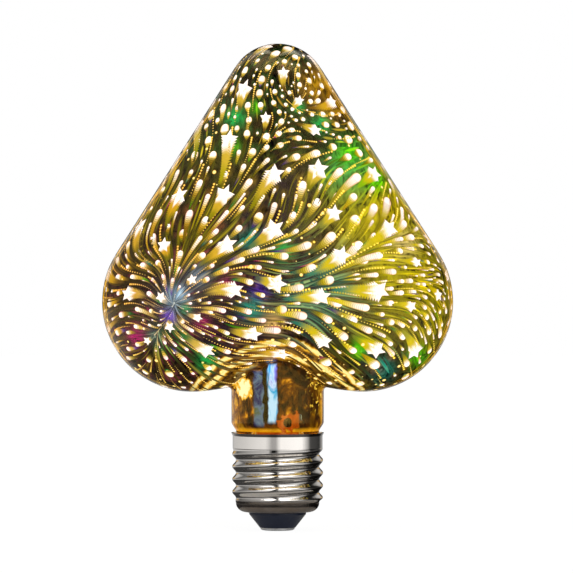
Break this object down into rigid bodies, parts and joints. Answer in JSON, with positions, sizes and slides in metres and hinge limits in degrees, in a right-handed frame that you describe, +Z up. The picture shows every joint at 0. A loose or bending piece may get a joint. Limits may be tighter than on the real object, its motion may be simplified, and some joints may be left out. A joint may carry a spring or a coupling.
{
  "type": "firework effect led bulb",
  "caption": "Heart shaped LED lamp, point up, with a mirror coated firework pattern glass envelope on an Edison screw cap.",
  "frame": {"origin": "centre of the flat face of the centre contact, where the lamp meets the bottom of a lamp holder", "axes": "+Z up along the cap's axis to the crown of the heart, +X to the right across the two lobes, +Y towards the back through the heart's depth"},
  "size_m": [0.101, 0.058, 0.14],
  "materials": {
    "coated_glass": "blown glass with a half mirror coating inside, gold and green, glossy outside",
    "nickel_plate": "bright nickel plate on thin rolled sheet",
    "black_insulator": "dark blue black moulded insulator, semi gloss",
    "tinned_contact": "tinned brass, bright",
    "cement": "matt cap cement",
    "stem_glass": "clear lamp glass",
    "orange_sleeve": "matt orange silicone sleeve",
    "phosphor": "yellow phosphor silicone, lit",
    "nickel_wire": "drawn nickel wire and strip",
    "circuit_board": "green solder mask on glass fibre board",
    "black_epoxy": "matt moulded epoxy",
    "capacitor_sleeve": "dark blue shrink sleeve over an aluminium can",
    "resistor_body": "tan lacquer"
  },
  "bodies": {
    "root": {"glass_envelope": "coated_glass", "cap_shell": "nickel_plate", "cap_insulator": "black_insulator", "centre_contact": "tinned_contact", "cap_cement": "cement", "glass_stem": "stem_glass", "exhaust_tube": "stem_glass", "support_post": "stem_glass", "lead_sleeve": "orange_sleeve", "led_filament_1": "phosphor", "led_filament_2": "phosphor", "led_filament_3": "phosphor", "led_filament_4": "phosphor", "filament_tabs": "nickel_wire", "upper_hooks": "nickel_wire", "lead_wire_live": "nickel_wire", "lead_wire_neutral": "nickel_wire", "contact_wire": "nickel_wire", "shell_wire": "nickel_wire", "driver_board": "circuit_board", "bridge_rectifier": "black_epoxy", "driver_chip": "black_epoxy", "filter_capacitor": "capacitor_sleeve", "fuse_resistor": "resistor_body", "chip_resistors": "black_epoxy"}
  },
  "joints": []
}
